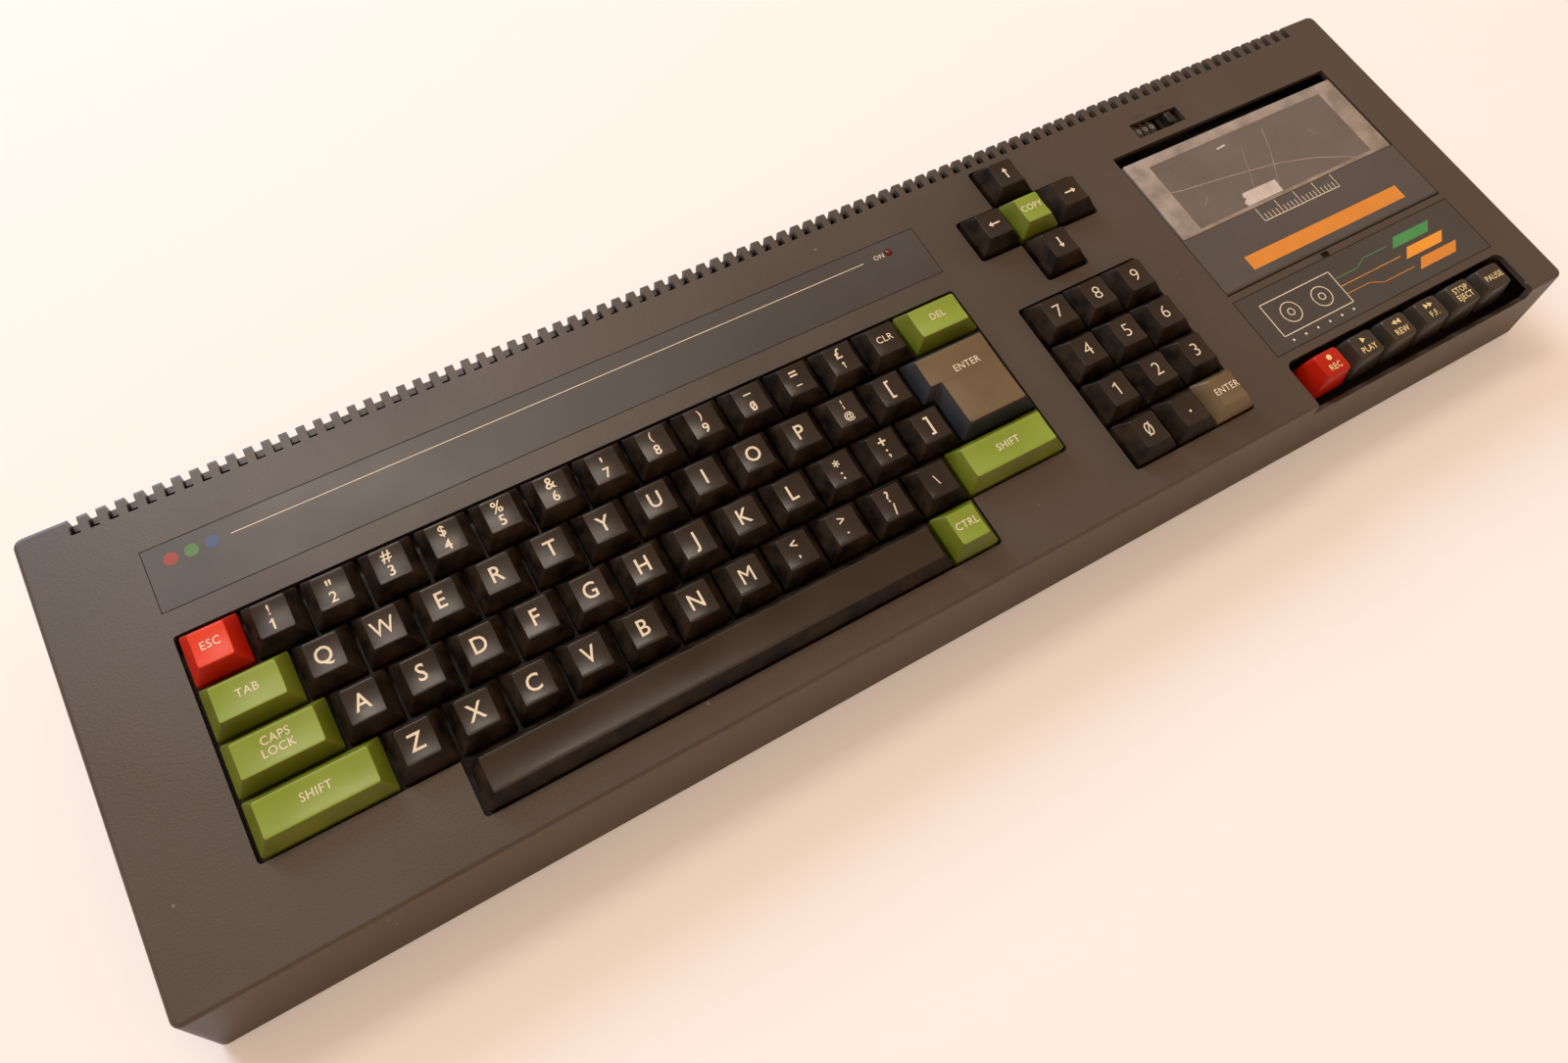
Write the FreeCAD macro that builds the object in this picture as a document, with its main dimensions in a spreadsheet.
import FreeCAD, Part
import math
import os
import re

# Home computer with a sloped deck, a full keyboard and a built-in cassette recorder, in millimetres.
# World frame: origin under the middle of the machine, X to its right, Y to the rear, Z up.
# Deck frame: X as above, Y up the slope from the sharp front edge, Z square to the deck, 0 at its skin.
# What sits in the deck is modelled in the deck frame and tilted by its Placement.

SIZES = {
    # Housing, with the bands of deck between its blocks from left to right
    "left_band": 36.1, "pad_gap": 19.825, "door_gap": 24.45, "right_band": 20.9, "rear_band": 9.925,
    "side_draft": 1.0, "deck_slope": 10.4, "foot_height": 2.5, "front_undercut": 2.5, "rear_lean": 8.7,
    "mechanism_clear": 3.578, "wall": 2.5, "deck_skin": 2.5, "corner_round": 3.2, "edge_round": 1.6,
    "overrun": 1.0, "fit_gap": 0.3, "run_gap": 0.05,
    # Cooling comb
    "slot_pitch": 6.0, "slot_width": 3.0, "comb_inset": 19.5, "comb_band": 6.7, "comb_depth": 5.5,
    # Keys: grid, cap and plunger
    "key_pitch": 19.05, "space_row_base": 21.0, "cap_gap_side": 1.1, "cap_gap_row": 1.35,
    "cap_top_width": 10.85, "cap_top_reach": 11.7, "cap_top": 7.5, "cap_shoulder": 1.5, "skirt_drop": 2.0,
    "cap_wall": 1.4, "stem_width": 5.0, "stem_gap": 0.3, "key_travel": 3.5, "cursor_shift": 0.825,
    "cursor_gap": 7.25, "guide_offset": 60.0,
    # Wells round the keys
    "well_margin": 1.15, "pad_margin": 0.7, "cursor_margin": 0.7, "well_round": 1.4,
    # Keyboard frame and membrane
    "frame_rim": 2.0, "frame_ledge": 4.0, "plate_top": 7.0, "plate_depth": 3.0, "frame_depth": 13.5,
    "membrane_depth": 0.6, "frame_back": 4.125, "frame_side": 5.75,
    # Label strip and lamp
    "label_lead": 1.5, "label_trail": 2.925, "label_offset": 9.975, "label_width": 23.2,
    "label_depth": 0.4, "label_gap": 0.15, "lamp_inset": 14.8, "lamp_setback": 5.9, "lamp_radius": 1.6,
    "lamp_rise": 0.9, "lamp_depth": 7.0, "lamp_flange": 2.4,
    # Openings of the cassette deck
    "door_margin": 10.05, "door_length": 71.5, "door_lead": 3.7, "door_gap_side": 0.4,
    "door_gap_front": 0.5, "door_gap_rear": 5.3, "panel_margin": 0.55, "panel_lead": 3.7,
    "panel_length": 27.9, "notch_shift": 8.95, "notch_lead": 1.1, "notch_width": 4.0,
    "notch_length": 2.4, "notch_depth": 1.0, "bay_side": 5.9, "bay_rear_gap": 1.6, "key_bay_round": 3.5,
    "lip_top": 5.0, "lip_inner_depth": 9.0, "lip_inner": 2.2, "lip_outer": 1.7,
    # Cassette door
    "door_thick": 3.0, "hinge_pin": 0.9, "hinge_boss": 4.0, "window_lead": 29.3, "window_inset": 1.8,
    "window_thick": 1.5, "window_gap": 0.2, "sight_side": 10.65, "sight_inset_front": 6.1,
    "sight_inset_rear": 5.1, "rail_reach": 13.0, "rail_wall": 2.0, "rail_lip": 3.0,
    "rail_lip_thick": 1.0, "rail_inset_front": 5.9, "rail_inset_rear": 3.6, "cassette_width": 101.2,
    # Deck keys
    "deck_key_pitch": 18.45, "deck_key_shift": 0.65, "deck_key_top": 3.5, "deck_key_base": 9.0,
    "deck_key_width": 16.8, "deck_key_top_width": 11.8, "deck_key_front": 5.0,
    "deck_key_rear": 19.2, "deck_key_top_front": 6.9, "deck_key_top_rear": 17.3,
    "pivot_lead": 6.1, "pivot_clear": 0.1, "pivot_radius": 1.5, "arm_width": 6.0, "arm_half": 2.0,
    "arm_boss": 3.4, "web_front": 8.0, "web_rear": 18.0,
    # Deck mechanism
    "chassis_side": 2.65, "chassis_lead": 3.2, "chassis_clear": 3.0, "chassis_thick": 1.5,
    "post_clear": 0.1, "post_width": 4.0, "post_length": 6.0, "hub_spacing": 42.5, "hub_lead": 37.9,
    "reel_radius": 13.0, "reel_depth": 2.4, "hub_radius": 3.5, "hub_top": 6.0, "spline": 1.0,
    "axle_radius": 1.5, "reel_drive_radius": 12.0, "drive_clear": 2.0, "drive_thick": 2.5,
    "capstan_shift": 24.05, "capstan_lead": 9.9, "capstan_radius": 1.0, "capstan_top": 4.5,
    "bearing_radius": 3.0, "bearing_rise": 3.0, "flywheel_radius": 22.0, "flywheel_clear": 1.0,
    "flywheel_thick": 4.5, "flywheel_hub": 5.0, "bracket_clear": 1.1, "bracket_thick": 1.5,
    "bracket_half": 8.0, "motor_shift": 40.95, "motor_lead": 48.9, "motor_radius": 13.0,
    "motor_length": 14.5, "shaft_radius": 1.0, "shaft_grip": 9.0, "pulley_radius": 4.0,
    "belt_thick": 1.2, "belt_gap": 0.3, "belt_width": 2.5, "slide_left_reach": 34.0,
    "slide_right_reach": 40.0, "slide_lead": 18.1, "slide_length": 18.0, "slide_thick": 1.0,
    "slide_travel": 5.0, "pinch_radius": 6.0, "pinch_top": 6.5, "pinch_clear": 2.7, "pinch_gap": 0.3,
    "head_width": 13.0, "head_lead": 7.1, "head_length": 10.2, "head_top": 5.5, "erase_shift": 22.0,
    "erase_width": 8.0,
    # Tape counter
    "counter_shift": 42.75, "counter_width": 25.9, "counter_gap": 4.1, "counter_length": 7.9,
    "counter_band": 17.1, "digit_inset": 6.8, "digit_pitch": 3.6, "digit_width": 3.1,
    "digit_radius": 5.8, "digit_sink": 1.4, "digit_clear": 0.95, "counter_wall": 1.2,
    "counter_box_depth": 15.0, "reset_inset": 6.3, "reset_width": 3.4, "reset_length": 5.4,
    "reset_rise": 0.5, "reset_depth": 9.0, "counter_floor": 3.2,
    # Right side recess with the volume wheel and the power switch
    "side_recess_depth": 5.5, "recess_front": 14.0, "recess_rear": 50.0, "recess_low": 21.0,
    "recess_height": 14.0, "volume_y": 2.0, "volume_radius": 9.0, "volume_thick": 3.0,
    "volume_rise": 5.5, "volume_inset": 1.0, "volume_shaft": 1.5, "pot_depth": 6.5, "pot_half": 7.0,
    "switch_y": 34.0, "switch_travel": 4.0, "knob_length": 8.0, "knob_height": 6.0,
    "knob_stand": 4.0, "knob_stem": 3.0, "switch_half": 9.0, "switch_depth": 11.0,
    # Lower housing
    "tray_floor": 2.5, "tray_gap": 0.3, "tray_rim": 8.0, "tray_rim_wall": 1.8, "boss_radius": 6.0,
    "boss_height": 12.0, "post_radius": 4.0, "screw_shank": 1.45, "screw_head": 2.9,
    "screw_head_height": 2.0, "screw_length": 14.0, "screw_floor": 2.5, "head_bore_gap": 0.5,
    "post_inset": 15.5, "post_setback": 24.0, "post_right_inset": 11.5, "post_right_setback": 18.0,
    "foot_radius": 7.0, "foot_inset": 37.5, "foot_setback": 20.0,
    # Main board and what stands on it; the shares run from the board's left end to its right
    "board_inset": 25.5, "board_trail": 36.6, "board_set": 6.0, "board_depth": 118.0,
    "board_bottom": 14.0, "board_thick": 1.6, "spacer_radius": 3.5, "edge_pitch": 2.54,
    "window_side": 4.0, "window_low": 8.0, "window_high": 24.0, "monitor_share": 0.162,
    "power_share": 0.256, "printer_share": 0.432, "expansion_share": 0.6875, "joystick_share": 0.881,
    "stereo_share": 0.983, "chip_width": 7.5, "chip_height": 3.6,
    # Sockets on the rear wall
    "socket_set": 2.0, "socket_z": 24.0, "joystick_width": 17.0, "joystick_height": 8.6,
    "joystick_shell": 0.8, "flange_width": 31.0, "flange_height": 12.6, "joystick_pin": 0.5,
    "joystick_pin_pitch": 2.77, "monitor_radius": 7.6, "monitor_bore": 6.7, "power_radius": 4.3,
    "power_bore": 2.8, "power_pin": 1.0, "stereo_radius": 3.6, "stereo_bore": 1.8,
    "socket_body_depth": 14.0,
    # Loudspeaker
    "speaker_gap": 2.0, "speaker_y": 32.0, "speaker_radius": 26.0, "speaker_height": 12.0,
    "magnet_radius": 12.0, "magnet_height": 8.0, "grille_slot_count": 7, "grille_slot_width": 2.4,
    "grille_pitch": 6.0, "grille_half": 18.0,
}

# Places and sizes that follow from those above, each written from values before it
PLACES = {
    # Across the machine
    "door_width": "cassette_width + 2 * door_margin",
    "case_length": "left_band + 18.5 * key_pitch + pad_gap + door_gap + door_width + right_band",
    "keys_left": "case_length / 2 - left_band",
    "pad_left": "15.5 * key_pitch + pad_gap - keys_left",
    "cursor_x": "pad_left + 1.5 * key_pitch + cursor_shift",
    "frame_right": "pad_left + 3 * key_pitch + frame_side",
    "cursor_side": "cursor_x - 1.5 * key_pitch - frame_side",
    "label_left": "keys_left + label_lead",
    "label_right": "15.5 * key_pitch + label_trail - keys_left",
    "lamp_x": "label_right - lamp_inset",
    "door_x": "case_length / 2 - right_band - door_width / 2",
    "sight_half": "door_width / 2 - sight_side",
    "panel_left": "door_x - door_width / 2 - panel_margin",
    "panel_right": "door_x + door_width / 2 + panel_margin",
    "notch_x": "door_x - notch_shift",
    "deck_key_x": "door_x + deck_key_shift",
    "key_bay_left": "deck_key_x - 3 * deck_key_pitch - bay_side",
    "key_bay_right": "deck_key_x + 3 * deck_key_pitch + bay_side",
    "chassis_half": "3 * deck_key_pitch + chassis_side",
    "chassis_left": "door_x - chassis_half",
    "chassis_right": "door_x + chassis_half",
    "capstan_x": "door_x + capstan_shift",
    "motor_x": "door_x - motor_shift",
    "counter_left": "door_x - counter_shift",
    "counter_right": "counter_left + counter_width",
    "digit_x": "counter_left + digit_inset",
    "reset_x": "counter_right - reset_inset",
    "comb_reach": "case_length / 2 - comb_inset",
    "post_left": "case_length / 2 - post_inset",
    "post_right": "case_length / 2 - post_right_inset",
    "post_middle": "(frame_right + chassis_left) / 2",
    "foot_x": "case_length / 2 - foot_inset",
    # Up the deck
    "cursor_y": "space_row_base + 5 * key_pitch + cursor_gap",
    "frame_rear": "cursor_y + 1.5 * key_pitch + frame_back",
    "label_front": "space_row_base + 4.5 * key_pitch + label_offset",
    "label_rear": "label_front + label_width",
    "lamp_y": "label_rear - lamp_setback",
    "key_bay_rear": "deck_key_rear + bay_rear_gap",
    "panel_front": "key_bay_rear + panel_lead",
    "panel_rear": "panel_front + panel_length",
    "door_front": "panel_rear + door_lead",
    "door_rear": "door_front + door_length",
    "notch_y": "door_front - notch_lead",
    "window_front": "door_front + window_lead",
    "pivot_y": "door_front - pivot_lead",
    "hub_y": "door_front + hub_lead",
    "capstan_y": "door_front + capstan_lead",
    "motor_y": "door_front + motor_lead",
    "slide_front": "door_front - slide_lead",
    "head_front": "door_front - head_lead",
    "chassis_front": "key_bay_rear + chassis_lead",
    "chassis_rear": "door_rear + door_gap_rear + post_length + post_clear",
    "counter_front": "door_rear + door_gap_rear + counter_gap",
    "counter_rear": "counter_front + counter_length",
    "counter_y": "(counter_front + counter_rear) / 2",
    "counter_half": "digit_radius + digit_clear + counter_wall",
    "deck_length": "max(cursor_y + 1.5 * key_pitch + rear_band; counter_rear + counter_band)",
    "comb_start": "deck_length - comb_band",
    # Square to the deck, downwards
    "chassis_top": "door_thick + rail_reach + chassis_clear",
    "chassis_bottom": "chassis_top + chassis_thick",
    "bearing_top": "chassis_top - bearing_rise",
    "pivot_depth": "chassis_bottom + arm_boss + pivot_clear",
    "pinch_bottom": "chassis_top - fit_gap - slide_thick - pinch_clear",
    "drive_top": "chassis_bottom + drive_clear",
    "drive_bottom": "drive_top + drive_thick",
    "flywheel_top": "chassis_bottom + motor_length + flywheel_clear",
    "flywheel_bottom": "flywheel_top + flywheel_thick",
    "bracket_depth": "flywheel_bottom + bracket_clear",
    "digit_depth": "digit_radius + digit_sink",
    "counter_bottom": "deck_skin + counter_box_depth",
    # Upright sizes; the front is as high as the mechanism under the deck needs
    "bracket_bottom": "bracket_depth + bracket_thick",
    "bracket_drop": "bracket_bottom * cos(deck_slope) - (capstan_y - bracket_half) * sin(deck_slope)",
    "front_height": "tray_floor + mechanism_clear + bracket_drop",
    "deck_rise": "deck_length * sin(deck_slope)",
    "case_top_z": "foot_height + front_height + deck_rise",
    "floor_top": "foot_height + tray_floor",
    "board_top": "board_bottom + board_thick",
    "recess_high": "recess_low + recess_height",
    "volume_low": "recess_low + volume_rise",
    "switch_z": "recess_low + recess_height / 2",
    # From front to rear of the machine
    "case_half": "(deck_length * cos(deck_slope) + rear_lean) / 2",
    "board_rear": "case_half - board_set",
    "board_front": "board_depth - board_rear",
    "socket_face": "case_half - socket_set",
    "socket_front": "board_rear - socket_body_depth",
    "post_y": "case_half - post_setback",
    "post_right_rear": "case_half - post_right_setback",
    "foot_y": "case_half - foot_setback",
    # Along the main board
    "board_left": "case_length / 2 - board_inset",
    "board_right": "frame_right - board_trail",
    "board_length": "board_left + board_right",
    "monitor_x": "monitor_share * board_length - board_left",
    "power_x": "power_share * board_length - board_left",
    "printer_x": "printer_share * board_length - board_left",
    "expansion_x": "expansion_share * board_length - board_left",
    "joystick_x": "joystick_share * board_length - board_left",
    "stereo_x": "stereo_share * board_length - board_left",
    "speaker_x": "board_right + speaker_gap + speaker_radius",
    # Right side
    "recess_face": "case_length / 2 - side_recess_depth",
    "volume_x": "case_length / 2 - volume_inset - volume_radius",
}

doc = FreeCAD.newDocument("home_computer")
sheet = doc.addObject("Spreadsheet::Sheet", "dim")
KNOWN = {**SIZES, **{alias: f"={text}" for alias, text in PLACES.items()}}
for line, (alias, value) in enumerate(KNOWN.items(), 1):
    sheet.set(f"A{line}", alias)
    sheet.set(f"B{line}", str(value))
    sheet.setAlias(f"B{line}", alias)
doc.recompute()

NAME = re.compile(r"[a-z][a-z0-9_]*")
nodes = []


def size(alias):
    """Read one size from the sheet."""
    return float(sheet.get(alias))


def bound(text):
    """Return an expression in which every size name reads the sheet."""
    return NAME.sub(lambda word: "dim." + word[0] if word[0] in KNOWN else word[0], text)


def bind(item, expressions):
    """Bind the properties of an object to expressions."""
    for path, text in expressions.items():
        item.setExpression(path, bound(text))


def block(x, y, z):
    """Make a box from three spans, each a low and a high expression."""
    item = doc.addObject("Part::Box", "block")
    bind(item, {
        "Placement.Base.x": x[0], "Placement.Base.y": y[0], "Placement.Base.z": z[0],
        "Length": f"({x[1]}) - ({x[0]})", "Width": f"({y[1]}) - ({y[0]})", "Height": f"({z[1]}) - ({z[0]})",
    })
    return item


def rod(axis, centre, span, radius):
    """Make a cylinder along an axis; centre holds its other two coordinates in X, Y, Z order."""
    item = doc.addObject("Part::Cylinder", "rod")
    if axis == "x":
        base = (span[0], centre[0], centre[1])
        turn = FreeCAD.Rotation(FreeCAD.Vector(0, 1, 0), 90)
    elif axis == "y":
        base = (centre[0], span[0], centre[1])
        turn = FreeCAD.Rotation(FreeCAD.Vector(1, 0, 0), -90)
    else:
        base = (centre[0], centre[1], span[0])
        turn = FreeCAD.Rotation()
    item.Placement = FreeCAD.Placement(FreeCAD.Vector(), turn)
    bind(item, {
        "Placement.Base.x": base[0], "Placement.Base.y": base[1], "Placement.Base.z": base[2],
        "Radius": radius, "Height": f"({span[1]}) - ({span[0]})",
    })
    return item


def taper(x, y, z, top_x, top_y):
    """Make a block whose top face has spans of its own."""
    item = doc.addObject("Part::Wedge", "taper")
    item.Placement = FreeCAD.Placement(FreeCAD.Vector(), FreeCAD.Rotation(FreeCAD.Vector(1, 0, 0), 90))
    bind(item, {
        "Xmin": x[0], "Xmax": x[1], "X2min": top_x[0], "X2max": top_x[1], "Ymin": z[0], "Ymax": z[1],
        "Zmin": f"-({y[1]})", "Zmax": f"-({y[0]})", "Z2min": f"-({top_y[1]})", "Z2max": f"-({top_y[0]})",
    })
    return item


def cut(base, *tools):
    """Take the tools away from the base."""
    item = doc.addObject("Part::Cut", "cut")
    item.Base = base
    item.Tool = tools[0] if len(tools) == 1 else join(*tools)
    return item


def join(*parts):
    """Fuse the parts into one solid."""
    item = doc.addObject("Part::MultiFuse", "join")
    item.Shapes = list(parts)
    return item


def overlap(base, tool):
    """Keep what two solids share."""
    item = doc.addObject("Part::Common", "overlap")
    item.Base = base
    item.Tool = tool
    return item


def group(*parts):
    """Hold separate solids together without joining them."""
    item = doc.addObject("Part::Compound", "group")
    item.Links = list(parts)
    return item


def rounded(base, alias, chosen):
    """Round the edges of a solid that a test on the edge accepts."""
    doc.recompute()
    radius = size(alias)
    item = doc.addObject("Part::Fillet", "rounded")
    item.Base = base
    item.Edges = [(number, radius, radius) for number, edge in enumerate(base.Shape.Edges, 1) if chosen(edge)]
    return item


def tilt(item):
    """Lay an object modelled in the deck frame on the sloped deck."""
    slope = FreeCAD.Rotation(FreeCAD.Vector(1, 0, 0), size("deck_slope"))
    item.Placement = FreeCAD.Placement(FreeCAD.Vector(), slope)
    bind(item, {"Placement.Base.y": "-case_half", "Placement.Base.z": "foot_height + front_height"})
    return item


def node(label, item, on_deck=False):
    """Give a finished sub-part its name, and its place if it belongs to the deck."""
    item.Label = label
    if on_deck:
        tilt(item)
    nodes.append(item)
    return item


def about(middle, half):
    """Span of a given half width about a middle."""
    return (f"{middle} - ({half})", f"{middle} + ({half})")


# Housing
def housing_block(inset):
    """Block between leaning walls, inset from the outer skin."""
    front_top = "front_undercut * deck_rise / front_height"
    low_x = f"case_length / 2 - {inset}"
    high_x = f"case_length / 2 - side_draft - {inset}"
    return taper(
        (f"-({low_x})", low_x),
        (f"-case_half + front_undercut + {inset}", f"case_half - {inset}"),
        ("foot_height", "case_top_z"),
        (f"-({high_x})", high_x),
        (f"-case_half - {front_top} + {inset}", f"case_half - rear_lean - {inset}"),
    )


def above_deck(low):
    """Tilted block over everything above a height in the deck frame."""
    reach = "case_length"
    return tilt(group(block((f"-{reach}", reach), (f"-{reach}", reach), (low, reach))))


def is_upright(edge):
    """True for a straight edge that rises more than it runs."""
    box = edge.BoundBox
    return box.ZLength > max(box.XLength, box.YLength)


def is_deck_rim(edge):
    """True for an edge that lies on the sloped deck."""
    slope = math.radians(size("deck_slope"))
    front_z = size("foot_height") + size("front_height")

    def height(point):
        return (point.z - front_z) * math.cos(slope) - (point.y + size("case_half")) * math.sin(slope)

    return all(abs(height(vertex.Point)) < size("run_gap") for vertex in edge.Vertexes)


def key_wells():
    """Openings of the keyboard, the number pad and the cursor cross."""
    depth = ("-deck_skin - overrun", "overrun")
    left = "-keys_left - well_margin"
    row_low = "space_row_base - key_pitch / 2"
    main = block(
        (left, "-keys_left + 15.5 * key_pitch + well_margin"),
        (f"{row_low} + key_pitch - well_margin / 4", f"{row_low} + 5 * key_pitch + well_margin"), depth)
    space = block(
        ("-keys_left + 3.25 * key_pitch - well_margin", "-keys_left + 13.25 * key_pitch + well_margin"),
        (f"{row_low} - pad_margin / 3", f"{row_low} + 2 * key_pitch"), depth)
    pad = block(
        ("pad_left - pad_margin", "pad_left + 3 * key_pitch + pad_margin"),
        (f"{row_low} - pad_margin / 3", f"{row_low} + 4 * key_pitch + pad_margin"), depth)
    cross_long = "3 * key_pitch / 2 + cursor_margin"
    cross_short = "key_pitch / 2 + cursor_margin"
    upright = block(about("cursor_x", cross_short), about("cursor_y", cross_long), depth)
    level = block(about("cursor_x", cross_long), about("cursor_y", cross_short), depth)
    return [rounded(well, "well_round", is_upright) for well in (main, space, pad, upright, level)]


def deck_key_bay():
    """Bay of the deck keys, open at the front down to a bevelled lip."""
    across = ("key_bay_left", "key_bay_right")
    floor = block(across, ("lip_inner", "key_bay_rear"), ("-lip_inner_depth - overrun", "overrun"))

    def is_rear_corner(edge):
        """True for the bay's two upright edges at the rear."""
        return is_upright(edge) and edge.BoundBox.YMin > size("lip_inner")

    bay = rounded(floor, "key_bay_round", is_rear_corner)
    lip = taper(
        across, ("lip_inner", "key_bay_rear / 2"), ("-lip_inner_depth", "-lip_top"),
        across, ("-lip_outer", "key_bay_rear / 2"))
    mouth = block(across, ("-wall - lip_outer", "key_bay_rear / 2"), ("-lip_top", "overrun"))
    return [bay, lip, mouth]


def deck_openings():
    """Everything that is cut square to the deck."""
    through = ("-deck_skin - overrun", "overrun")
    shallow = ("-label_depth", "overrun")
    door = block(
        about("door_x", "door_width / 2 + door_gap_side"),
        ("door_front - door_gap_front", "door_rear + door_gap_rear"), through)
    label = block(
        ("-label_left - label_gap", "label_right + label_gap"),
        ("label_front - label_gap", "label_rear + label_gap"), shallow)
    panel = block(
        ("panel_left - label_gap", "panel_right + label_gap"),
        ("panel_front - label_gap", "panel_rear + label_gap"), shallow)
    lamp = rod("z", ("lamp_x", "lamp_y"), through, "lamp_radius + run_gap")
    counter = block(("counter_left", "counter_right"), ("counter_front", "counter_rear"), through)
    notch = block(about("notch_x", "notch_width / 2"), ("notch_y - notch_length", "notch_y"),
                  ("-notch_depth", "overrun"))
    return [door, label, panel, lamp, counter, notch]


def cooling_comb():
    """Row of slots over the rear edge of the deck."""
    count = int(2 * size("comb_reach") / size("slot_pitch")) + 1
    slots = []
    for index in range(count):
        middle = f"-comb_reach + {index} * slot_pitch"
        slots.append(block(
            about(middle, "slot_width / 2"), ("comb_start", "deck_length + rear_lean"),
            ("-comb_depth", "overrun")))
    return slots


def screw_places():
    """Middle of each case screw, as X and Y expressions."""
    return [
        ("-post_left", "-post_y"), ("-post_left", "post_y"), ("post_middle", "-post_y"),
        ("post_middle", "post_y"), ("post_right", "-post_y"), ("post_right", "post_right_rear")]


CONNECTOR_WAYS_COUNTS = {"expansion_x": 25, "printer_x": 17}
ROUND_SOCKETS = {
    "monitor": ("monitor_bore", None),
    "power": ("power_bore", "power_pin"),
    "stereo": ("stereo_bore", None),
}


def rear_windows():
    """Holes in the rear wall for the edge connectors and the sockets."""
    through = ("board_rear - overrun", "case_half + overrun")
    windows = []
    for middle, ways in CONNECTOR_WAYS_COUNTS.items():
        half = f"{ways} * edge_pitch / 2 + window_side"
        windows.append(block(about(middle, half), through, ("window_low", "window_high")))
    windows.append(block(
        about("joystick_x", "joystick_width / 2 + joystick_shell + fit_gap"), through,
        about("socket_z", "joystick_height / 2 + joystick_shell + fit_gap")))
    for kind in ROUND_SOCKETS:
        windows.append(rod("y", (f"{kind}_x", "socket_z"), through, f"{kind}_radius + fit_gap"))
    return windows


def side_recess():
    """Outer tub and inner hollow of the recess in the right-hand side."""
    tub = block(
        ("recess_face - wall", "case_length / 2 - wall - side_draft / 2"),
        ("-recess_front - wall", "recess_rear + wall"), ("recess_low - wall", "recess_high + wall"))
    hollow = block(("recess_face", "case_length / 2 + overrun"), ("-recess_front", "recess_rear"),
                   ("recess_low", "recess_high"))
    through = ("recess_face - wall - overrun", "recess_face + overrun")
    wheel_slot = block(through, about("volume_y", "volume_radius + fit_gap"),
                       ("volume_low - fit_gap", "volume_low + volume_thick + fit_gap"))
    knob_slot = block(
        through, ("switch_y - knob_stem / 2 - fit_gap", "switch_y + knob_stem / 2 + switch_travel + fit_gap"),
        about("switch_z", "knob_stem / 2 + fit_gap"))
    return tub, [hollow, wheel_slot, knob_slot]


def make_case_top():
    """Upper housing: deck, four walls, screw posts and all their openings."""
    outer = cut(housing_block("0"), above_deck("0"))
    corners = rounded(outer, "corner_round", is_upright)
    skin = rounded(corners, "edge_round", is_deck_rim)
    inner = cut(housing_block("wall"), above_deck("-deck_skin"))
    posts = [rod("z", place, ("boss_height", "case_top_z"), "post_radius") for place in screw_places()]
    recess_tub, recess_cuts = side_recess()
    hinge_bosses = []
    hinge_holes = []
    for side in (-1, 1):
        edge = f"door_x + {side} * (door_width / 2 + door_gap_side)"
        far = f"{edge} + {side} * hinge_boss"
        across = (far, edge) if side < 0 else (edge, far)
        hinge_bosses.append(block(across, about("door_front + door_thick / 2", "door_thick"),
                                  ("-deck_skin - hinge_boss / 2", "-deck_skin / 2")))
        hinge_holes.append(rod("x", ("door_front + door_thick / 2", "-door_thick / 2"), across,
                               "hinge_pin + run_gap"))
    added = join(*posts, recess_tub, tilt(group(*hinge_bosses)))
    within = cut(housing_block("wall / 2"), above_deck("-deck_skin / 2"))
    shell = join(cut(skin, inner), overlap(added, within))
    deck_cuts = tilt(group(*key_wells(), *deck_key_bay(), *deck_openings(), *cooling_comb(), *hinge_holes))
    screwed = ("boss_height - overrun", "boss_height - screw_floor + screw_length + overrun")
    screw_bores = [rod("z", place, screwed, "screw_shank + run_gap") for place in screw_places()]
    return node("case_top", cut(shell, deck_cuts, *screw_bores, *rear_windows(), *recess_cuts))


def make_case_bottom():
    """Lower housing: floor inside the walls, low rim, screw bosses, board spacers and speaker grille."""
    inset = "(wall + tray_gap)"
    plan_x = f"case_length / 2 - {inset} - side_draft / 4"
    front = f"-case_half + front_undercut + {inset}"
    above = "foot_height + tray_rim + overrun"
    rear = f"case_half - {inset} - rear_lean / 4"
    floor = block((f"-({plan_x})", plan_x), (front, rear), ("foot_height", "floor_top"))
    rim = block((f"-({plan_x})", plan_x), (front, rear), ("foot_height", "foot_height + tray_rim"))
    rim_inside = block(
        (f"-({plan_x}) + tray_rim_wall", f"{plan_x} - tray_rim_wall"),
        (f"{front} + tray_rim_wall", f"{rear} - tray_rim_wall"), ("floor_top", above))
    sockets_clear = block(
        ("-board_left", "board_right + wall"),
        (f"{rear} - tray_rim_wall - overrun", f"{rear} + overrun"), ("window_low - overrun", above))
    bosses = [rod("z", place, ("foot_height", "boss_height"), "boss_radius") for place in screw_places()]
    spacers = [rod("z", place, ("foot_height", "board_bottom"), "spacer_radius") for place in spacer_places()]
    body = join(cut(rim, rim_inside, sockets_clear), floor, *bosses, *spacers)
    bores = []
    for place in screw_places():
        bores.append(rod("z", place, ("foot_height - overrun", "boss_height - screw_floor"),
                         "screw_head + head_bore_gap"))
        bores.append(rod("z", place, ("foot_height", "boss_height + overrun"), "screw_shank + fit_gap"))
    for index in range(int(size("grille_slot_count"))):
        middle = f"speaker_x + ({index} - (grille_slot_count - 1) / 2) * grille_pitch"
        bores.append(block(about(middle, "grille_slot_width / 2"), about("-speaker_y", "grille_half"),
                           ("foot_height - overrun", "floor_top + overrun")))
    return node("case_bottom", cut(body, *bores))


def spacer_places():
    """Middle of each spacer under the main board."""
    inset = "2 * spacer_radius"
    columns = [f"-board_left + {inset}", "-(board_left - board_right) / 2", f"board_right - {inset}"]
    return [(x, y) for x in columns for y in (f"-board_front + {inset}", f"board_rear - 3 * {inset}")]


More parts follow.
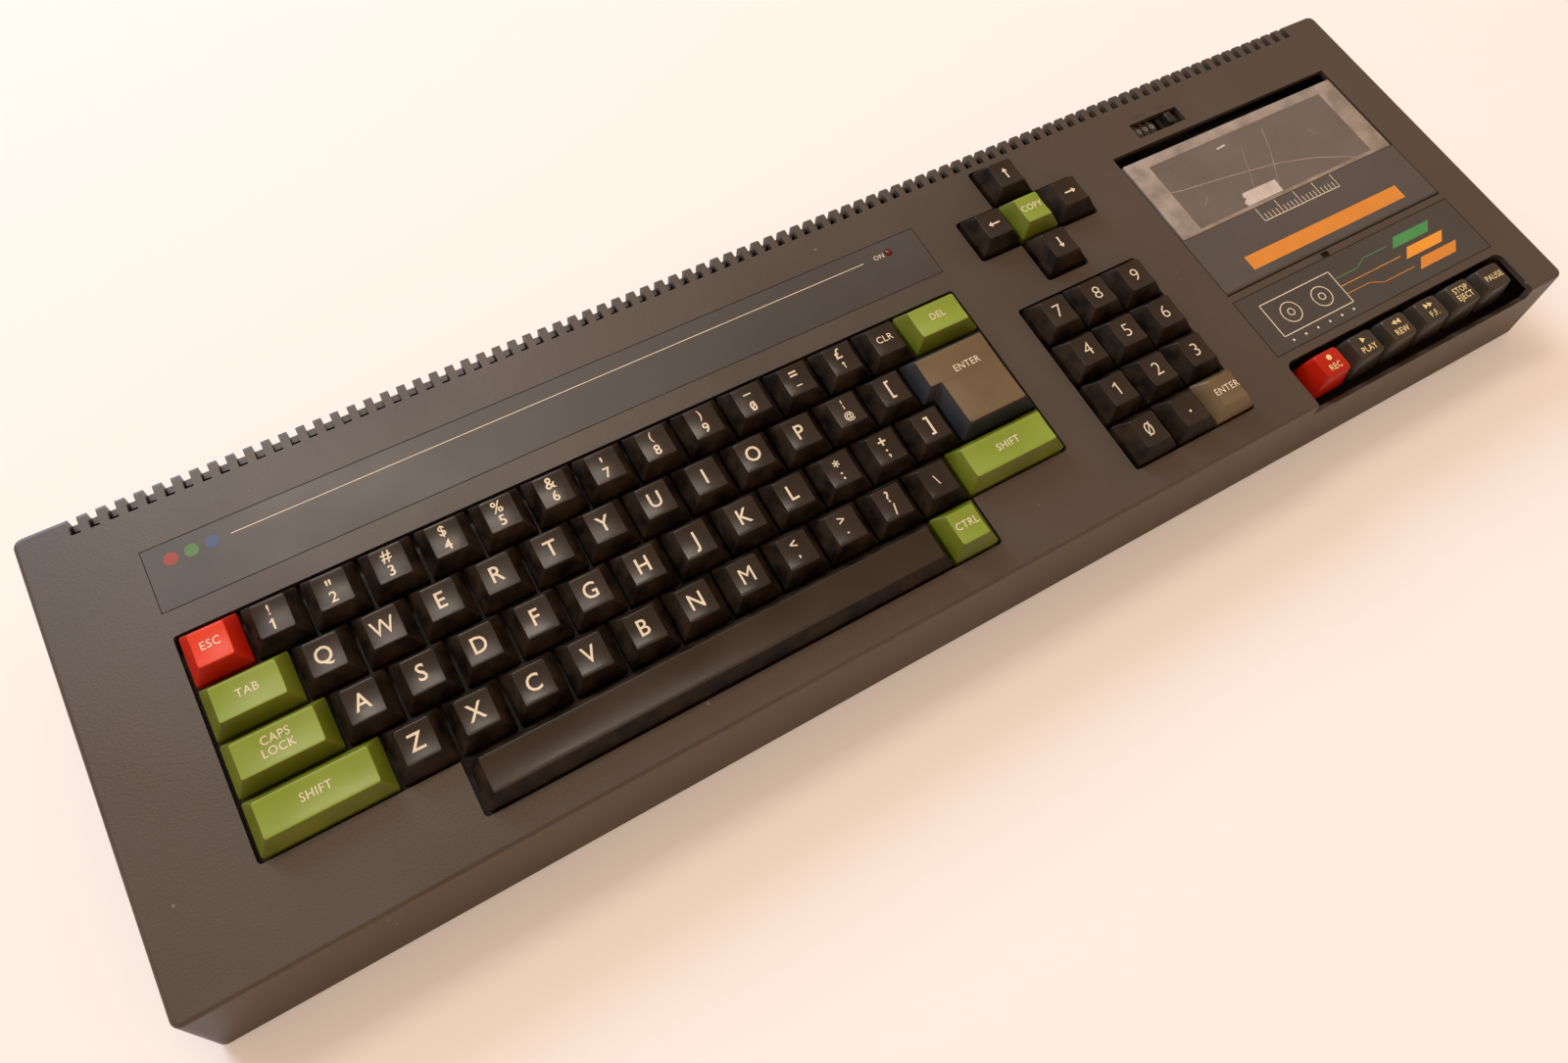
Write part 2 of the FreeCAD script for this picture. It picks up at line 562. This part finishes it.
def make_feet():
    """Four rubber feet under the lower housing."""
    feet = [rod("z", (f"{x} * foot_x", f"{y} * foot_y"), ("0", "foot_height"), "foot_radius")
            for x in (-1, 1) for y in (-1, 1)]
    return node("feet", group(*feet))


def make_case_screws():
    """Identical screws that hold the two housings together."""
    screws = []
    top = "boss_height - screw_floor"
    for place in screw_places():
        head = rod("z", place, (f"{top} - screw_head_height", top), "screw_head")
        shank = rod("z", place, (f"{top} - screw_head_height / 2", f"{top} + screw_length"), "screw_shank")
        screws.append(join(head, shank))
    return node("case_screws", group(*screws))


# Keyboard
def cell(column, row, width=1.0, rows=1):
    """Low and high corner spans of a key's cell in the main block, row 0 at the rear."""
    low_x = f"-keys_left + {column} * key_pitch"
    low_y = f"space_row_base - key_pitch / 2 + {4 - row} * key_pitch"
    return (low_x, f"{low_x} + {width} * key_pitch"), (low_y, f"{low_y} + {rows} * key_pitch")


def pad_cell(column, row):
    """Cell of the number pad; its rows are those of the main block."""
    low_x = f"pad_left + {column} * key_pitch"
    return (low_x, f"{low_x} + key_pitch"), cell(0, row)[1]


def cursor_cell(column, row):
    """Cell of the cursor cross; columns and rows count from its middle."""
    return (about(f"cursor_x + {column} * key_pitch", "key_pitch / 2"),
            about(f"cursor_y + {row} * key_pitch", "key_pitch / 2"))


def middle_of(span):
    """Expression for the middle of a span."""
    return f"(({span[0]}) + ({span[1]})) / 2"


def cap_block(cell_spans, grow):
    """Tapered cap over a skirt, drawn in on all sides by a wall thickness."""
    (left, right), (front, rear) = cell_spans
    across = (f"{left} + cap_gap_side / 2 + {grow}", f"{right} - cap_gap_side / 2 - {grow}")
    along = (f"{front} + cap_gap_row / 2 + {grow}", f"{rear} - cap_gap_row / 2 - {grow}")
    side = f"(key_pitch - cap_top_width) / 2 + {grow}"
    row = f"(key_pitch - cap_top_reach) / 2 + {grow}"
    cap = taper(across, along, ("cap_shoulder", f"cap_top - {grow}"),
                (f"{left} + {side}", f"{right} - {side}"), (f"{front} + {row}", f"{rear} - {row}"))
    skirt = block(across, along, (f"-skirt_drop - {grow} / cap_wall * overrun", "cap_shoulder"))
    return [cap, skirt]


def key(*cells, stems=None):
    """Hollow key cap over one cell or more, with a plunger under each stem place."""
    outside = [piece for spans in cells for piece in cap_block(spans, "0")]
    inside = [piece for spans in cells for piece in cap_block(spans, "cap_wall")]
    places = stems or [(middle_of(cells[0][0]), middle_of(cells[0][1]))]
    plungers = [
        block(about(x, "stem_width / 2"), about(y, "stem_width / 2"),
              ("-frame_depth + key_travel", "cap_top - cap_wall / 2"))
        for x, y in places]
    return join(cut(join(*outside), *inside), *plungers)


def stem_places():
    """Every plunger place on the keyboard, for the guide holes of the frame."""
    places = []
    for cells in [*SINGLE_KEYS.values(), *KEY_GROUPS.values()]:
        places += [(middle_of(spans[0]), middle_of(spans[1])) for spans in cells]
    places += space_stems() + [enter_stem()]
    return places


def space_stems():
    """Three plungers under the space bar."""
    across, along = SPACE_CELL
    middle = middle_of(across)
    return [(f"{middle} + {side} * guide_offset", middle_of(along)) for side in (-1, 0, 1)]


def enter_stem():
    """Plunger of the enter key, between its two rows."""
    lower = ENTER_CELLS[1]
    return (middle_of(lower[0]), middle_of(lower[1]))


SINGLE_KEYS = {
    "escape_key": [cell(0, 0)],
    "tab_key": [cell(0, 1, 1.5)],
    "caps_lock_key": [cell(0, 2, 1.75)],
    "shift_left_key": [cell(0, 3, 2.25)],
    "delete_key": [cell(14, 0, 1.5)],
    "shift_right_key": [cell(13.25, 3, 2.25)],
    "control_key": [cell(12.25, 4)],
    "copy_key": [cursor_cell(0, 0)],
}
SPACE_CELL = cell(3.25, 4, 9)
ENTER_CELLS = [cell(13.5, 1, 2), cell(13.75, 2, 1.75, 2)]
KEY_GROUPS = {
    "number_row_keys": [cell(1 + index, 0) for index in range(13)],
    "upper_letter_keys": [cell(1.5 + index, 1) for index in range(12)],
    "home_row_keys": [cell(1.75 + index, 2) for index in range(12)],
    "lower_row_keys": [cell(2.25 + index, 3) for index in range(11)],
    "cursor_keys": [cursor_cell(column, row) for column, row in ((0, 1), (-1, 0), (1, 0), (0, -1))],
    "number_pad_keys": [pad_cell(column, row) for row in (1, 2, 3, 4) for column in range(3)],
}


def make_keys():
    """All key caps; rows of like keys share a node as separate solids."""
    for label, cells in SINGLE_KEYS.items():
        node(label, group(key(*cells)), on_deck=True)
    node("space_bar", group(key(SPACE_CELL, stems=space_stems())), on_deck=True)
    node("enter_key", group(key(*ENTER_CELLS, stems=[enter_stem()])), on_deck=True)
    for label, cells in KEY_GROUPS.items():
        node(label, group(*[key(spans) for spans in cells]), on_deck=True)


def make_keyboard_frame():
    """Frame under the wells: a rim up to the deck and a plate that guides the plungers."""
    left = "-keys_left - frame_ledge"
    front = "space_row_base - key_pitch / 2 - frame_ledge"
    rear = "space_row_base + 4.5 * key_pitch + frame_ledge"
    plans = [((left, "frame_right"), (front, rear)),
             (("cursor_side", "frame_right"), (f"{rear} - frame_rim", "frame_rear"))]
    outside = join(*[block(x, y, ("-frame_depth", "-deck_skin")) for x, y in plans])
    upper = []
    lower = []
    for index, (x, y) in enumerate(plans):
        inner_x = (f"{x[0]} + frame_rim", f"{x[1]} - frame_rim")
        low_y = f"{y[0]} + frame_rim" if index == 0 else f"{y[0]} - frame_rim"
        inner_y = (low_y, f"{y[1]} - frame_rim")
        upper.append(block(inner_x, inner_y, ("-plate_top", "-deck_skin + overrun")))
        lower.append(block(inner_x, inner_y, ("-frame_depth - overrun", "-plate_top - plate_depth")))
    guides = [block(about(x, "stem_width / 2 + stem_gap"), about(y, "stem_width / 2 + stem_gap"),
                    ("-plate_top - plate_depth - overrun", "-plate_top + overrun")) for x, y in stem_places()]
    return node("keyboard_frame", cut(outside, *upper, *lower, *guides), on_deck=True)


def make_key_membrane():
    """Contact sheet under the keyboard frame."""
    left = "-keys_left - frame_ledge"
    front = "space_row_base - key_pitch / 2 - frame_ledge"
    rear = "space_row_base + 4.5 * key_pitch + frame_ledge"
    depth = ("-frame_depth - membrane_depth", "-frame_depth")
    main = block((left, "frame_right"), (front, rear), depth)
    cross = block(("cursor_side", "frame_right"), (f"{rear} - frame_rim", "frame_rear"), depth)
    return node("key_membrane", join(main, cross), on_deck=True)


# Labels and lamp
def make_label_strip():
    """Thin strip over the keyboard, with a hole for the lamp."""
    strip = block(("-label_left", "label_right"), ("label_front", "label_rear"), ("-label_depth", "0"))
    hole = rod("z", ("lamp_x", "lamp_y"), ("-label_depth - overrun", "overrun"), "lamp_radius + run_gap")
    return node("label_strip", cut(strip, hole), on_deck=True)


def make_power_lamp():
    """Domed lamp with a flange under the deck."""
    body = rod("z", ("lamp_x", "lamp_y"), ("-lamp_depth", "lamp_rise - lamp_radius"), "lamp_radius")
    dome = doc.addObject("Part::Sphere", "dome")
    bind(dome, {"Placement.Base.x": "lamp_x", "Placement.Base.y": "lamp_y",
                "Placement.Base.z": "lamp_rise - lamp_radius", "Radius": "lamp_radius"})
    flange = rod("z", ("lamp_x", "lamp_y"), ("-lamp_depth", "-deck_skin"), "lamp_flange")
    return node("power_lamp", join(body, dome, flange), on_deck=True)


def make_deck_panel():
    """Thin panel in front of the cassette door."""
    panel = block(("panel_left", "panel_right"), ("panel_front", "panel_rear"), ("-label_depth", "0"))
    return node("deck_panel", group(panel), on_deck=True)


# Cassette door
HINGE_Y = "(door_front + door_thick / 2)"
HINGE_Z = "-door_thick / 2"


def make_cassette_door():
    """Door with a round hinge edge, a sight opening and two rails that hold a cassette."""
    across = about("door_x", "door_width / 2")
    slab = block(across, (HINGE_Y, "door_rear"), ("-door_thick", "0"))
    barrel = rod("x", (HINGE_Y, HINGE_Z), across, "door_thick / 2")
    seat = block(about("door_x", "door_width / 2 + overrun"),
                 ("window_front", "door_rear + overrun"), ("-window_thick", "overrun"))
    sight = block(about("door_x", "sight_half"),
                  ("window_front + sight_inset_front", "door_rear - sight_inset_rear"),
                  ("-door_thick - overrun", "overrun"))
    pin_half = "door_width / 2 + door_gap_side + hinge_boss - fit_gap"
    pin = rod("x", (HINGE_Y, HINGE_Z), about("door_x", pin_half), "hinge_pin")
    rails = []
    for side in (-1, 1):
        inner = f"door_x + {side} * cassette_width / 2"
        outer = f"{inner} + {side} * rail_wall"
        lip = f"{inner} - {side} * rail_lip"
        wall_span = (outer, inner) if side < 0 else (inner, outer)
        lip_span = (outer, lip) if side < 0 else (lip, outer)
        along = ("door_front + rail_inset_front", "door_rear - rail_inset_rear")
        bottom = "-door_thick - rail_reach"
        rails.append(block(wall_span, along, (bottom, "-door_thick")))
        rails.append(block(lip_span, along, (bottom, f"{bottom} + rail_lip_thick")))
    body = cut(join(slab, barrel), seat, sight)
    return node("cassette_door", group(join(body, pin, *rails)), on_deck=True)


def make_door_window():
    """Clear window laid on the rear part of the door."""
    pane = block(about("door_x", "door_width / 2 - window_inset / 2"),
                 ("window_front + window_gap", "door_rear - window_gap"),
                 ("-window_thick", "window_gap"))
    return node("door_window", group(pane), on_deck=True)


# Deck keys
DECK_KEYS = ("record_key", "play_key", "rewind_key", "fast_forward_key", "stop_eject_key", "pause_key")


def deck_key_middle(index):
    """Middle of a deck key across the machine."""
    return f"deck_key_x + ({index} - 2.5) * deck_key_pitch"


def make_deck_keys():
    """Piano keys on long arms that turn on one shaft under the chassis."""
    for index, label in enumerate(DECK_KEYS):
        middle = deck_key_middle(index)
        cap = taper(
            about(middle, "deck_key_width / 2"), ("deck_key_front", "deck_key_rear"),
            ("-deck_key_base", "deck_key_top"), about(middle, "deck_key_top_width / 2"),
            ("deck_key_top_front", "deck_key_top_rear"))
        web = block(about(middle, "arm_width / 2"), ("web_front", "web_rear"),
                    ("-pivot_depth - arm_half", "-deck_key_base"))
        arm = block(about(middle, "arm_width / 2"), ("web_front", "pivot_y"),
                    about("-pivot_depth", "arm_half"))
        boss = rod("x", ("pivot_y", "-pivot_depth"), about(middle, "arm_width / 2"), "arm_boss")
        bore = rod("x", ("pivot_y", "-pivot_depth"), about(middle, "arm_width / 2 + overrun"),
                   "pivot_radius + run_gap")
        node(label, cut(join(cap, web, arm, boss), bore), on_deck=True)


# Cassette mechanism
HUBS = {"supply_spindle": "(door_x - hub_spacing / 2)", "take_up_spindle": "(door_x + hub_spacing / 2)"}
CAPSTAN = ("capstan_x", "capstan_y")
MOTOR = ("motor_x", "motor_y")


def idler_size():
    """Middle and radius of the idler that bridges the flywheel hub and the take-up disc."""
    hub_x = size("door_x") + size("hub_spacing") / 2
    reach_x = hub_x - size("capstan_x")
    reach_y = size("hub_y") - size("capstan_y")
    distance = math.hypot(reach_x, reach_y)
    radius = (distance - size("flywheel_hub") - size("reel_drive_radius")) / 2 - size("belt_gap") / 2
    share = (size("flywheel_hub") + size("belt_gap") / 2 + radius) / distance
    return size("capstan_x") + share * reach_x, size("capstan_y") + share * reach_y, radius


def make_deck_chassis():
    """Chassis plate on four posts, with the key shaft, the bearings and the idler pin."""
    plate = block(("chassis_left", "chassis_right"), ("chassis_front", "chassis_rear"),
                  ("-chassis_bottom", "-chassis_top"))
    parts = [plate]
    for x in ("chassis_left", "chassis_right - post_width"):
        for y in ("chassis_front", "chassis_rear - post_length"):
            parts.append(block((x, f"{x} + post_width"), (y, f"{y} + post_length"),
                               ("-chassis_bottom", "-deck_skin")))
    shaft = ("chassis_left", "chassis_right")
    parts.append(rod("x", ("pivot_y", "-pivot_depth"), shaft, "pivot_radius"))
    for x in ("chassis_left", "chassis_right - post_width"):
        parts.append(block((x, f"{x} + post_width"), about("pivot_y", "arm_boss"),
                           ("-pivot_depth - arm_boss", "-chassis_bottom")))
    parts.append(rod("z", CAPSTAN, ("-chassis_bottom", "-bearing_top"), "bearing_radius"))
    parts.append(block(("capstan_x - post_width", "chassis_right"), about("capstan_y", "bracket_half"),
                       ("-bracket_bottom", "-bracket_depth")))
    parts.append(block(("chassis_right - post_width", "chassis_right"), about("capstan_y", "bracket_half"),
                       ("-bracket_depth", "-chassis_bottom")))
    idler_x, idler_y, _ = idler_size()
    pin = doc.addObject("Part::Cylinder", "idler_pin")
    bind(pin, {"Radius": "shaft_radius", "Height": "drive_bottom - chassis_top",
               "Placement.Base.z": "-drive_bottom"})
    pin.Placement.Base.x = idler_x
    pin.Placement.Base.y = idler_y
    parts.append(pin)
    capstan_bore = ("-bracket_bottom - overrun", "-bearing_top + overrun")
    holes = [rod("z", CAPSTAN, capstan_bore, "capstan_radius + run_gap")]
    through = ("-chassis_bottom - overrun", "-chassis_top + overrun")
    for x in HUBS.values():
        holes.append(rod("z", (x, "hub_y"), through, "axle_radius + run_gap"))
    return node("deck_chassis", cut(join(*parts), *holes), on_deck=True)


def make_motor():
    """Motor hung under the chassis, bored for its rotor shaft."""
    bottom = "-chassis_bottom - motor_length"
    can = rod("z", MOTOR, (bottom, "-chassis_bottom"), "motor_radius")
    grip = (f"{bottom} - overrun", f"{bottom} + shaft_grip + fit_gap")
    bore = rod("z", MOTOR, grip, "shaft_radius + run_gap")
    return node("motor", cut(can, bore), on_deck=True)


def make_motor_pulley():
    """Pulley and the rotor shaft that carries it."""
    bottom = "-chassis_bottom - motor_length"
    wheel = rod("z", MOTOR, ("-flywheel_bottom", "-flywheel_top"), "pulley_radius")
    shaft = rod("z", MOTOR, ("-flywheel_bottom", f"{bottom} + shaft_grip"), "shaft_radius")
    return node("motor_pulley", join(wheel, shaft), on_deck=True)


def make_flywheel():
    """Flywheel, its drive hub and the capstan in one."""
    wheel = rod("z", CAPSTAN, ("-flywheel_bottom", "-flywheel_top"), "flywheel_radius")
    hub = rod("z", CAPSTAN, ("-drive_bottom", "-drive_top"), "flywheel_hub")
    shaft = rod("z", CAPSTAN, ("-bracket_bottom", "-capstan_top"), "capstan_radius")
    return node("capstan_flywheel", join(wheel, hub, shaft), on_deck=True)


def make_drive_belt():
    """Flat belt round the motor pulley and the flywheel."""
    motor = FreeCAD.Vector(size("motor_x"), size("motor_y"), 0)
    capstan = FreeCAD.Vector(size("capstan_x"), size("capstan_y"), 0)
    line = capstan - motor

    def loop(grow):
        radii = [size("pulley_radius") + grow, size("flywheel_radius") + grow]
        lean = math.acos((radii[0] - radii[1]) / line.Length)
        heading = math.atan2(line.y, line.x)

        def on_circle(middle, radius, angle):
            return middle + FreeCAD.Vector(math.cos(angle), math.sin(angle), 0) * radius

        ends = [heading + lean, heading - lean]
        first = [on_circle(motor, radii[0], angle) for angle in ends]
        second = [on_circle(capstan, radii[1], angle) for angle in ends]
        edges = [
            Part.LineSegment(first[0], second[0]).toShape(),
            Part.Arc(second[0], on_circle(capstan, radii[1], heading), second[1]).toShape(),
            Part.LineSegment(second[1], first[1]).toShape(),
            Part.Arc(first[1], on_circle(motor, radii[0], heading + math.pi), first[0]).toShape(),
        ]
        return Part.Face(Part.Wire(edges))

    gap = size("belt_gap")
    band = loop(gap + size("belt_thick")).cut(loop(gap))
    solid = band.extrude(FreeCAD.Vector(0, 0, size("belt_width")))
    middle = size("flywheel_top") + size("flywheel_thick") / 2
    solid.translate(FreeCAD.Vector(0, 0, -middle - size("belt_width") / 2))
    belt = doc.addObject("Part::Feature", "belt_band")
    belt.Shape = solid.Solids[0]
    return node("drive_belt", group(belt), on_deck=True)


def make_idler():
    """Idler wheel between the flywheel hub and the take-up disc."""
    idler_x, idler_y, radius = idler_size()
    wheel = doc.addObject("Part::Cylinder", "idler_rim")
    bore = doc.addObject("Part::Cylinder", "idler_bore")
    bind(wheel, {"Height": "drive_thick", "Placement.Base.z": "-drive_bottom"})
    bind(bore, {"Height": "drive_thick + 2 * overrun", "Placement.Base.z": "-drive_bottom - overrun",
                "Radius": "shaft_radius + run_gap"})
    wheel.Radius = radius
    for piece in (wheel, bore):
        piece.Placement.Base.x = idler_x
        piece.Placement.Base.y = idler_y
    return node("idler_wheel", cut(wheel, bore), on_deck=True)


def make_spindles():
    """Two reel spindles; the take-up one has the disc that the idler drives."""
    for label, x in HUBS.items():
        place = (x, "hub_y")
        table_top = "-chassis_top + fit_gap + reel_depth"
        parts = [
            rod("z", place, ("-chassis_top + fit_gap", table_top), "reel_radius"),
            rod("z", place, (table_top, "-hub_top"), "hub_radius"),
            rod("z", place, ("-drive_bottom", table_top), "axle_radius"),
        ]
        for turn in (0, 1):
            half = ("hub_radius + spline", "spline / 2")
            parts.append(block(about(x, half[turn]), about("hub_y", half[1 - turn]),
                               (table_top, "-hub_top - spline")))
        disc = "reel_drive_radius" if label == "take_up_spindle" else "hub_radius"
        parts.append(rod("z", place, ("-drive_bottom", "-drive_top"), disc))
        node(label, join(*parts), on_deck=True)


PINCH_Y = "(capstan_y - capstan_radius - pinch_radius - pinch_gap - slide_travel)"


def make_head_slide():
    """Sliding plate that carries the heads and the pinch roller's pin."""
    bottom = "-chassis_top + fit_gap"
    plate = block(("door_x - slide_left_reach", "door_x + slide_right_reach"),
                  ("slide_front", "slide_front + slide_length"), (bottom, f"{bottom} + slide_thick"))
    pin = rod("z", ("capstan_x", PINCH_Y), (bottom, "-pinch_top + fit_gap"), "shaft_radius")
    return node("head_slide", join(plate, pin), on_deck=True)


def make_pinch_roller():
    """Rubber roller that presses the tape on the capstan."""
    place = ("capstan_x", PINCH_Y)
    roller = rod("z", place, ("-pinch_bottom", "-pinch_top"), "pinch_radius")
    bore = rod("z", place, ("-pinch_bottom - overrun", "-pinch_top + overrun"), "shaft_radius + run_gap")
    return node("pinch_roller", cut(roller, bore), on_deck=True)


def make_tape_heads():
    """Erase head and record head on the slide."""
    seat = "-chassis_top + fit_gap + slide_thick"
    heads = [block(about(x, f"{width} / 2"), ("head_front", "head_front + head_length"), (seat, "-head_top"))
             for x, width in (("door_x - erase_shift", "erase_width"), ("door_x", "head_width"))]
    return node("tape_heads", group(*heads), on_deck=True)


# Tape counter
def digit_middle(index):
    """Middle of a digit wheel across the machine, 0 for the hundreds."""
    return f"digit_x + ({index} - 1) * digit_pitch"


def make_counter_housing():
    """Box under the counter window, with the shaft of the digit wheels and the guide of the reset button."""
    outside = block(("counter_left - counter_wall", "counter_right + counter_wall"),
                    about("counter_y", "counter_half"), ("-counter_bottom", "-deck_skin"))
    wheel_bay = block(("counter_left", "reset_x - reset_width / 2 - 2 * counter_wall"),
                      about("counter_y", "counter_half - counter_wall"),
                      ("-counter_bottom + counter_wall", "-deck_skin + overrun"))
    top_pocket = block(("counter_left", "counter_right"), ("counter_front", "counter_rear"),
                       ("-counter_floor", "-deck_skin + overrun"))
    guide = block(about("reset_x", "reset_width / 2 + fit_gap"),
                  about("counter_y", "reset_length / 2 + fit_gap"),
                  ("-counter_bottom + counter_wall", "-deck_skin + overrun"))
    along = ("counter_left - counter_wall / 2", "reset_x - reset_width / 2 - counter_wall")
    shaft = rod("x", ("counter_y", "-digit_depth"), along, "shaft_radius")
    return node("counter_housing", join(cut(outside, wheel_bay, top_pocket, guide), shaft), on_deck=True)


def make_digit_wheels():
    """Three digit wheels on the counter's shaft."""
    place = ("counter_y", "-digit_depth")
    for index, label in enumerate(("counter_hundreds", "counter_tens", "counter_units")):
        middle = digit_middle(index)
        wheel = rod("x", place, about(middle, "digit_width / 2"), "digit_radius")
        bore = rod("x", place, about(middle, "digit_width / 2 + overrun"), "shaft_radius + run_gap")
        node(label, cut(wheel, bore), on_deck=True)


def make_counter_reset():
    """Reset button of the counter."""
    button = block(about("reset_x", "reset_width / 2"),
                   about("counter_y", "reset_length / 2"),
                   ("-reset_depth", "reset_rise"))
    return node("counter_reset", group(button), on_deck=True)


# Volume wheel and power switch
def make_volume():
    """Thumb wheel on the shaft of its potentiometer."""
    place = ("volume_x", "volume_y")
    top = "volume_low + volume_thick"
    wheel = rod("z", place, ("volume_low", top), "volume_radius")
    shaft = rod("z", place, ("volume_low - pot_depth / 2", "volume_low"), "volume_shaft")
    node("volume_wheel", join(wheel, shaft))
    body = block(("volume_x - pot_half", "recess_face - wall"), about("volume_y", "pot_half"),
                 ("volume_low - pot_depth", "volume_low - fit_gap"))
    bore = rod("z", place, ("volume_low - pot_depth / 2 - fit_gap", "volume_low"), "volume_shaft + run_gap")
    node("volume_control", cut(body, bore))


def make_power_switch():
    """Sliding knob in the side recess and the switch body behind it."""
    back = "recess_face - wall"
    knob = block(("recess_face + fit_gap", "recess_face + fit_gap + knob_stand"),
                 about("switch_y", "knob_length / 2"), about("switch_z", "knob_height / 2"))
    stem = block((f"{back} - knob_stem", "recess_face + knob_stand / 2"),
                 about("switch_y", "knob_stem / 2"), about("switch_z", "knob_stem / 2"))
    node("power_switch_knob", join(knob, stem))
    body = block((f"{back} - switch_depth", back),
                 about("switch_y + switch_travel / 2", "switch_half"), about("switch_z", "switch_half / 2"))
    slot = block(
        (f"{back} - knob_stem - fit_gap", f"{back} + overrun"),
        ("switch_y - knob_stem / 2 - fit_gap", "switch_y + knob_stem / 2 + switch_travel + fit_gap"),
        about("switch_z", "knob_stem / 2 + fit_gap"))
    node("power_switch_body", cut(body, slot))


# Main board
def make_main_board():
    """Board with two edge-connector tongues that reach through the rear wall."""
    layer = ("board_bottom", "board_top")
    board = block(("-board_left", "board_right"), ("-board_front", "board_rear"), layer)
    tongues = [block(about(middle, f"{ways} * edge_pitch / 2"), ("board_rear - wall", "socket_face"), layer)
               for middle, ways in CONNECTOR_WAYS_COUNTS.items()]
    speaker_bay = rod("z", ("speaker_x", "-speaker_y"), ("board_bottom - overrun", "board_top + overrun"),
                      "speaker_radius + wall")
    return node("main_board", cut(join(board, *tongues), speaker_bay))


# Y of a row, shares of the board's length to its first chip and between chips, count, length in chip widths
CHIP_ROW_SHARES = (
    ("-board_front / 2", 0.09, 0.11, 7, 2.0),
    ("board_rear / 5", 0.13, 0.14, 5, 3.6),
    ("board_rear * 3 / 5", 0.1, 0.11, 4, 2.8),
)


def make_board_chips():
    """Chips on the main board in three rows."""
    chips = []
    for y, first_share, step_share, count, length in CHIP_ROW_SHARES:
        for index in range(count):
            x = f"({first_share} + {index} * {step_share}) * board_length - board_left"
            chips.append(block(about(x, f"chip_width * {length} / 2"), about(y, "chip_width"),
                               ("board_top", "board_top + chip_height")))
    return node("board_chips", group(*chips))


# Sockets
def socket_body(middle, half):
    """Block on the board that carries a socket."""
    return block(about(middle, half), ("socket_front", "board_rear - fit_gap"),
                 ("board_top", f"socket_z + {half}"))


def make_round_sockets():
    """Sockets with a round barrel through the rear wall; the power one has a pin."""
    for kind, (bore, pin) in ROUND_SOCKETS.items():
        place = (f"{kind}_x", "socket_z")
        body = socket_body(f"{kind}_x", f"{kind}_radius")
        barrel = rod("y", place, ("board_rear - wall", "socket_face"), f"{kind}_radius")
        hole = rod("y", place, ("socket_front + wall", "socket_face + overrun"), bore)
        shape = cut(join(body, barrel), hole)
        if pin:
            shape = join(shape, rod("y", place, ("socket_front + wall / 2", "socket_face - wall"), pin))
        node(f"{kind}_socket", group(shape))


def make_joystick_socket():
    """Nine-way socket: flange, shell and pins."""
    width = "joystick_width / 2"
    height = "joystick_height / 2"
    body = socket_body("joystick_x", "flange_width / 2")
    trim = block(about("joystick_x", "flange_width"), ("socket_front - overrun", "board_rear"),
                 ("socket_z + flange_height / 2", "socket_z + flange_width"))
    shell = block(about("joystick_x", f"{width} + joystick_shell"), ("board_rear - wall", "socket_face"),
                  about("socket_z", f"{height} + joystick_shell"))
    hollow = block(about("joystick_x", width), ("board_rear - wall / 2", "socket_face + overrun"),
                   about("socket_z", height))
    pins = []
    for row, count in ((1, 5), (-1, 4)):
        for index in range(count):
            x = f"joystick_x + ({index} - ({count} - 1) / 2) * joystick_pin_pitch"
            pins.append(rod("y", (x, f"socket_z + {row} * joystick_height / 6"),
                            ("board_rear - wall", "socket_face - wall / 2"), "joystick_pin"))
    return node("joystick_socket", join(cut(join(cut(body, trim), shell), hollow), *pins))


def make_speaker():
    """Loudspeaker that faces the grille in the floor."""
    place = ("speaker_x", "-speaker_y")
    basket = rod("z", place, ("floor_top", "floor_top + speaker_height"), "speaker_radius")
    magnet = rod("z", place, ("floor_top + speaker_height / 2", "floor_top + speaker_height + magnet_height"),
                 "magnet_radius")
    cone = doc.addObject("Part::Cone", "cone")
    bind(cone, {
        "Placement.Base.x": "speaker_x", "Placement.Base.y": "-speaker_y", "Placement.Base.z": "floor_top",
        "Radius1": "speaker_radius - wall", "Radius2": "magnet_radius / 2",
        "Height": "speaker_height - wall"})
    return node("loudspeaker", cut(join(basket, magnet), cone))


make_case_top()
make_case_bottom()
make_feet()
make_case_screws()
make_keyboard_frame()
make_key_membrane()
make_keys()
make_label_strip()
make_power_lamp()
make_deck_panel()
make_cassette_door()
make_door_window()
make_deck_keys()
make_deck_chassis()
make_motor()
make_motor_pulley()
make_flywheel()
make_drive_belt()
make_idler()
make_spindles()
make_head_slide()
make_pinch_roller()
make_tape_heads()
make_counter_housing()
make_digit_wheels()
make_counter_reset()
make_volume()
make_power_switch()
make_main_board()
make_board_chips()
make_joystick_socket()
make_round_sockets()
make_speaker()

doc.recompute()
for item in doc.Objects:
    if "Invalid" in item.State or "Error" in item.State:
        raise RuntimeError(f"{item.Name} failed: {item.State}")
os.makedirs("parts", exist_ok=True)
for item in nodes:
    if item.Shape.isNull() or not item.Shape.isValid():
        raise RuntimeError(f"{item.Label} has no sound shape")
    item.Shape.exportStep(f"parts/{item.Label}.step")
    print(item.Label, len(item.Shape.Solids), round(item.Shape.Volume))
print(len(nodes), "nodes")
